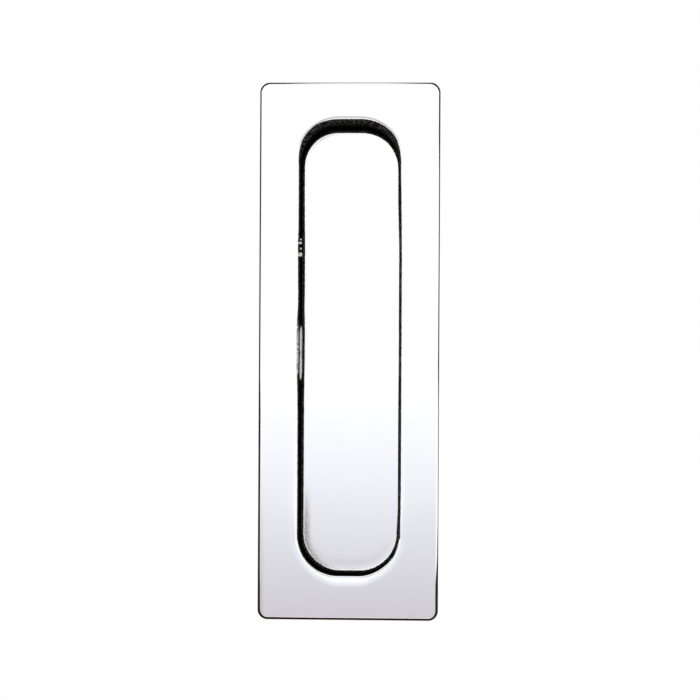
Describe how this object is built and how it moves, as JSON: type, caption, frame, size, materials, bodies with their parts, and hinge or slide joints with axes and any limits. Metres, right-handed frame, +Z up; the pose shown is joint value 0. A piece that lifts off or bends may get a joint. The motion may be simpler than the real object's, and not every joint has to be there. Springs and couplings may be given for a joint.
{
  "type": "recessed cabinet pull",
  "caption": "Flush recessed pull: a long rectangular chrome plate with a rounded, deep finger recess, a rolled lip and tapped bosses behind.",
  "frame": {"origin": "the middle of the plate's back, in the plane that seats on the door or drawer front", "axes": "+Z up along the plate's length, +X across its width, +Y into the door; the face looks along -Y"},
  "size_m": [0.04, 0.016, 0.119],
  "materials": {
    "polished_chrome": "polished chrome plating on cast zinc, with dark, finely pebbled recess walls"
  },
  "bodies": {
    "root": {"pull_body": "polished_chrome"}
  },
  "joints": []
}
